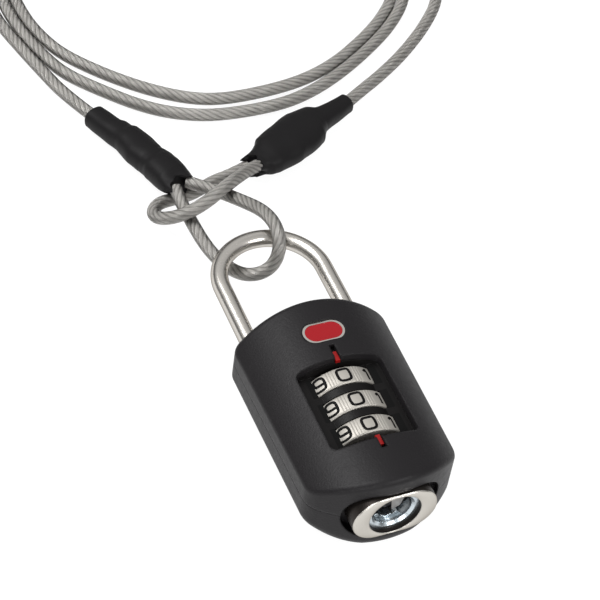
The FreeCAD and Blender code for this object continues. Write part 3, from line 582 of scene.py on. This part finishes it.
# The torn end at the eye: its depth and its reach along the sleeve, both as shares of the length.
TEAR_DEPTH = 0.028
TEAR_REACH = 0.06
CREASE_DEPTH = 0.02
# The lips that turn in at both ends: their place along the sleeve and how far they close.
EYE_LIP = (0.015, 0.72)
CABLE_LIP = (0.995, 0.80)


def add_sleeves(materials):
    """The heat-shrunk sleeves: a flattened, creased skin whose end at the eye is torn."""
    around, count = 64, 110
    for side, (start, end, rings) in SLEEVES.items():
        start, end = Vector(start), Vector(end)
        length = (end - start).length
        forward = (end - start) / length
        across = Vector((0, 0, 1)).cross(forward).normalized()
        up = forward.cross(across)
        points = []
        stops = [index / (count - 1) for index in range(count)]
        skins = [EYE_LIP] + [(share, 1.0) for share in stops] + [CABLE_LIP]
        for share, shrink in skins:
            offset, half_across, half_up = ring_between(rings, share)
            for part in range(around):
                turn = 2 * math.pi * part / around
                tear = math.sin(3 * turn + 0.8) + 0.5 * math.sin(7 * turn)
                ragged = TEAR_DEPTH * (1 - min(share / TEAR_REACH, 1)) * tear
                crease = 1 + CREASE_DEPTH * math.sin(2 * turn + 9 * share) * math.sin(23 * share)
                wide, high = boxy(math.cos(turn)), boxy(math.sin(turn))
                points.append(start + forward * ((share - ragged) * length)
                              + across * (offset + half_across * shrink * crease * wide)
                              + up * (half_up * shrink * crease * high))
        faces = tube_faces(len(skins), around)
        piece = add_mesh(f"shrink_{side}", points, faces, materials["shrink"], SHACKLE,
                         angle=60)
        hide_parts(f"sleeve_{side}")


# ---------------------------------------------------------------- dials and their digits

DIAL_RADIUS = 8.44
DIAL_BORE_RADIUS = 4.6
DIAL_AXIS_HEIGHT = 10.3
DIAL_HALF_WIDTH = 1.95
# The three grooves between two digits: where they are round the wheel, their half width and their depth.
GROOVES = (-0.62, 0.0, 0.62)
GROOVE_HALF_WIDTH = 0.13
GROOVE_DEPTH = 0.07

# Each digit as strokes in a square that runs from -1 to 1; the bends are rounded later.
GLYPHS = {
    0: (((0, 1), (-1, 1), (-1, -1), (1, -1), (1, 1), (0, 1)),),
    1: (((-0.55, 0.45), (0.1, 1), (0.1, -1)),),
    2: (((-1, 0.5), (-1, 1), (1, 1), (1, 0.05), (-1, -0.45), (-1, -1), (1, -1)),),
    3: (((-1, 0.6), (-1, 1), (1, 1), (1, 0), (-0.3, 0)), ((-0.3, 0), (1, 0), (1, -1), (-1, -1), (-1, -0.6))),
    4: (((0.45, -1), (0.45, 1), (-1, -0.35), (1, -0.35)),),
    5: (((1, 1), (-1, 1), (-1, 0.15), (1, 0.15), (1, -1), (-1, -1), (-1, -0.6)),),
    6: (((0.75, 0.7), (0.75, 1), (-1, 1), (-1, -1), (0.75, -1), (0.75, 0.1), (-1, 0.1)),),
    7: (((-1, 1), (1, 1), (-0.2, -1)),),
    8: (((0, 1), (-1, 1), (-1, 0.05), (1, 0.05), (1, 1), (0, 1)),
        ((0, 0.05), (-1, 0.05), (-1, -1), (1, -1), (1, 0.05), (0, 0.05))),
    9: (((-0.75, -0.7), (-0.75, -1), (1, -1), (1, 1), (-0.75, 1), (-0.75, -0.1), (1, -0.1)),),
}
DIGIT_HALF_WIDTH = 1.27
DIGIT_HALF_HEIGHT = 1.36
STROKE_WIDTH = 0.57
INK_THICKNESS = 0.012


def rounded_stroke(stroke, passes=3, keep=0.20):
    """Cuts a stroke's corners again and again until they are round."""
    points = [Vector((x * DIGIT_HALF_WIDTH, y * DIGIT_HALF_HEIGHT)) for x, y in stroke]
    for number in range(passes):
        share = keep if number == 0 else 0.25
        out = [points[0]]
        for a, b in zip(points, points[1:]):
            out.append(a + (b - a) * share)
            out.append(b + (a - b) * share)
        out.append(points[-1])
        points = [p for i, p in enumerate(out) if i == 0 or (p - out[i - 1]).length > 1e-4]
    return points


def on_dial(middle_y, turn, across, along, radius):
    """A point on a wheel's face from its distances round the wheel and along the wheel's axis."""
    angle = turn + across / DIAL_RADIUS
    return Vector((radius * math.sin(angle), middle_y + along, DIAL_AXIS_HEIGHT + radius * math.cos(angle)))


def digit_strips(digit, middle_y, turn, points, faces, width, radius):
    """Adds a digit's strokes to the points and faces, as flat strips wrapped on the wheel."""
    for stroke in GLYPHS[digit]:
        line = rounded_stroke(stroke)
        closed = (line[0] - line[-1]).length < 1e-3
        if closed:
            line = line[:-1]
        count = len(line)
        first = len(points)
        for index, point in enumerate(line):
            before = line[index - 1] if index or closed else point
            after = line[(index + 1) % count] if index < count - 1 or closed else point
            direction = (after - before).normalized()
            normal = Vector((-direction.y, direction.x)) * (width / 2)
            for edge in (point - normal, point + normal):
                points.append(on_dial(middle_y, turn, edge.x, edge.y, radius))
        for index in range(count if closed else count - 1):
            a = first + 2 * index
            b = first + 2 * ((index + 1) % count)
            faces.append((a, b, b + 1, a + 1))


def dial_profile(arc):
    """The dial's radius at a distance round it from the middle of the gap between two digits."""
    radius = DIAL_RADIUS
    for groove in GROOVES:
        reach = abs(arc - groove)
        if reach < GROOVE_HALF_WIDTH:
            radius -= GROOVE_DEPTH * (0.5 + 0.5 * math.cos(math.pi * reach / GROOVE_HALF_WIDTH))
    return radius


def add_dials(materials):
    """The three number wheels with ribs between their digits, and the digits themselves."""
    per_digit = 96
    count = per_digit * 10
    # Each ring: its share of the half width, then a fixed radius or how far it drops below the face.
    rings = ((-1.0, DIAL_BORE_RADIUS, None), (-1.0, None, 0.22), (-0.9, None, 0.04), (-0.84, None, 0.0),
             (0.84, None, 0.0), (0.9, None, 0.04), (1.0, None, 0.22), (1.0, DIAL_BORE_RADIUS, None))
    for body, node, middle_y in DIALS:
        points = []
        for share, fixed, drop in rings:
            for index in range(count):
                turn = 2 * math.pi * index / count
                arc = ((index % per_digit) - per_digit / 2) / per_digit * 2 * math.pi / 10 * DIAL_RADIUS
                radius = fixed if fixed else dial_profile(arc) - drop
                points.append(Vector((radius * math.sin(turn), middle_y + share * DIAL_HALF_WIDTH,
                                      DIAL_AXIS_HEIGHT + radius * math.cos(turn))))
        faces = [tuple(reversed(face)) for face in ring_faces(len(rings), count)]
        piece = add_mesh(f"{node}_wheel", points, faces, materials["satin"], body, angle=32)
        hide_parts(node)
        ink_points, ink_faces = [], []
        for digit in range(10):
            turn = math.radians(36 * digit)
            digit_strips(digit, middle_y, turn, ink_points, ink_faces, STROKE_WIDTH,
                         DIAL_RADIUS + INK_THICKNESS)
        add_mesh(f"{node}_digits", ink_points, ink_faces, materials["black paint"], body)


# ---------------------------------------------------------------- window floor, with painted shade at the slot ends

FRAME_FLOOR_TOP = 16.47
SLOT_HALF_WIDTH = 2.2
# The inner and outer edge of the sheets of painted shade, to the left and to the right.
SLOT_SHADE_EDGES = ((-5.80, -6.8), (5.80, 7.4))
SHADE_SHEET_HALF_THICKNESS = 0.02


def add_slot_shade_sheets(materials):
    """Painted shade at the ends of the three dial slots: thin black sheets on the floor of the number window,
    where the slots lie in shade.
    """
    points, faces = [], []
    for _, _, middle_y in DIALS:
        low, high = middle_y - SLOT_HALF_WIDTH, middle_y + SLOT_HALF_WIDTH
        for inner, outer in SLOT_SHADE_EDGES:
            faces += block_faces(len(points))
            for z in (FRAME_FLOOR_TOP - SHADE_SHEET_HALF_THICKNESS, FRAME_FLOOR_TOP + SHADE_SHEET_HALF_THICKNESS):
                points += [(inner, low, z), (outer, low, z), (outer, high, z), (inner, high, z)]
    # The black paint here is painted shade, not a colour of the floor.
    add_mesh("slot_shade_sheets", points, faces, materials["black paint"], CASE, smooth=False)


# ---------------------------------------------------------------- key end

KEY_AXIS_HEIGHT = 10.0
PLATE_HALF_LENGTH = 8.5
PLATE_HALF_HEIGHT = 5.7
PLATE_HOLE = 5.22
PLATE_FACE_Y = -37.4
PLATE_BACK_Y = -33.0
RING_BORE = 3.85
# The guard's teeth: their count, the arc they fill in degrees, their two inner radii, and front and back.
TEETH = 7
TEETH_FROM, TEETH_SPREAD = 215, 90
TEETH_RADII = (3.0, 3.25)
TEETH_ROOT = RING_BORE - 0.03
TEETH_FRONT_Y, TEETH_BACK_Y = -34.9, -33.2
# The flank's outline from the keyhole's middle, and where its front and back lie; the back is shifted.
FLANK_OUTLINE = ((0.2, 3.2), (2.4, 2.3), (3.3, 0.4), (2.6, -2.1), (1.0, -2.9))
FLANK_DEPTHS = ((-34.1, 0.0), (-33.7, 0.35))


def plate_reach(turn, inset):
    """How far the plate's rim is from its middle in a direction, drawn in by inset."""
    radius = PLATE_HALF_HEIGHT - inset
    middle = PLATE_HALF_LENGTH - PLATE_HALF_HEIGHT
    x, z = abs(math.cos(turn)), abs(math.sin(turn))
    flat = radius / z if z > 1e-6 else 1e9
    if flat * x <= middle:
        return flat
    return middle * x + math.sqrt(radius ** 2 - (middle * z) ** 2)


def add_key_plate(materials):
    """The nickel plate round the keyhole, with a softened rim, and painted shade on its outer wall and on the
    wall of its hole.
    """
    around = 160
    rings = (("rim", 0.0, PLATE_BACK_Y), ("rim", 0.0, PLATE_FACE_Y + 0.30),
             ("rim", 0.09, PLATE_FACE_Y + 0.09), ("rim", 0.30, PLATE_FACE_Y),
             ("hole", 0.14, PLATE_FACE_Y), ("hole", 0.04, PLATE_FACE_Y + 0.04),
             ("hole", 0.0, PLATE_FACE_Y + 0.14), ("hole", 0.0, PLATE_BACK_Y))
    painted_shade_walls = (0, 6)
    points = []
    for kind, inset, y in rings:
        for part in range(around):
            turn = 2 * math.pi * part / around
            reach = plate_reach(turn, inset) if kind == "rim" else PLATE_HOLE + inset
            points.append((reach * math.cos(turn), y, KEY_AXIS_HEIGHT + reach * math.sin(turn)))
    faces = ring_faces(len(rings), around)
    piece = add_mesh("key_plate_face", points, faces, materials["plate"], CASE, angle=40)
    # The plate's two walls take the near-black copy of its nickel, as painted shade.
    piece.data.materials.append(materials["painted plate wall shade"].material)
    for polygon in piece.data.polygons:
        polygon.material_index = 1 if polygon.index // around in painted_shade_walls else 0
    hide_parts("key_plate")


def add_key_guard(materials):
    """Small stepped teeth at the foot of the keyhole, in front of the plug."""
    points, faces = [], []
    for step in range(TEETH):
        tip = TEETH_RADII[step % 2]
        first = math.radians(TEETH_FROM + step * TEETH_SPREAD / TEETH)
        second = math.radians(TEETH_FROM + (step + 1) * TEETH_SPREAD / TEETH)
        faces += block_faces(len(points))
        for y in (TEETH_FRONT_Y, TEETH_BACK_Y):
            for radius, turn in ((tip, first), (tip, second), (TEETH_ROOT, second), (TEETH_ROOT, first)):
                points.append((radius * math.cos(turn), y, KEY_AXIS_HEIGHT + radius * math.sin(turn)))
    add_mesh("key_guard", points, faces, materials["zinc"], CASE, smooth=False)


def add_key_facet(materials):
    """The pale flank inside the right half of the keyhole."""
    points = [(across + shift, y, KEY_AXIS_HEIGHT + up)
              for y, shift in FLANK_DEPTHS for across, up in FLANK_OUTLINE]
    faces = [(4, 3, 2, 1, 0), (5, 6, 7, 8, 9)]
    faces += [(i, (i + 1) % 5, 5 + (i + 1) % 5, 5 + i) for i in range(5)]
    add_mesh("key_facet", points, faces, materials["facet"], CASE, smooth=False)


# ---------------------------------------------------------------- finishes of the CAD nodes

CAD_FINISHES = {
    "case": ("case_front", "case_back"),
    "liner": ("window_frame",),
    "red paint": ("index_marks",),
    "red enamel": ("badge_inlay",),
    "nickel": ("shackle", "badge_rim"),
    "plate": ("key_plate",),
    "zinc": ("cylinder_ring", "cylinder_housing", "chassis", "latch_bolts"),
    "plug": ("key_plug", "tail_cam"),
    "brass": ("wafers", "dial_sleeve_1", "dial_sleeve_2", "dial_sleeve_3"),
    "steel": ("spindle", "detent_spring", "latch_spring", "leg_retainer", "shackle_spring", "retaining_clip",
              "case_screws"),
    "crimp": ("ferrule_left", "ferrule_right"),
    "satin": ("dial_1", "dial_2", "dial_3"),
    "shrink": ("sleeve_left", "sleeve_right"),
    "strands": ("cable_coil", "cable_lead_left", "cable_lead_right", "cable_loop_left", "cable_loop_right"),
}


def finish_cad_nodes(materials):
    """Gives every CAD node its finish, also the ones that a finer piece replaces."""
    for finish, nodes in CAD_FINISHES.items():
        for node in nodes:
            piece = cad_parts[node]
            piece.data.materials.clear()
            piece.data.materials.append(materials[finish].material)


# ---------------------------------------------------------------- the scene

# Each lamp: its place and target in metres, its two sides and its watts.
LAMPS = (
    ("key light", (-0.35, 0.25, 0.75), (0.0, 0.0, 0.0), (0.5, 0.4), 6.0),
    ("fill light", (0.30, -0.70, 0.56), (0.0, -0.02, 0.01), (0.34, 0.16), 3.5),
    ("low light", (-0.32, -0.62, 0.22), (0.0, -0.03, 0.01), (0.5, 0.16), 1.6),
)

add_camera()
add_world()
add_floor()
for lamp_row in LAMPS:
    add_area(*lamp_row)
set_up_render()
MATERIALS = make_materials()
finish_cad_nodes(MATERIALS)
add_cable(MATERIALS)
add_sleeves(MATERIALS)
add_dials(MATERIALS)
add_slot_shade_sheets(MATERIALS)
add_key_plate(MATERIALS)
add_key_guard(MATERIALS)
add_key_facet(MATERIALS)
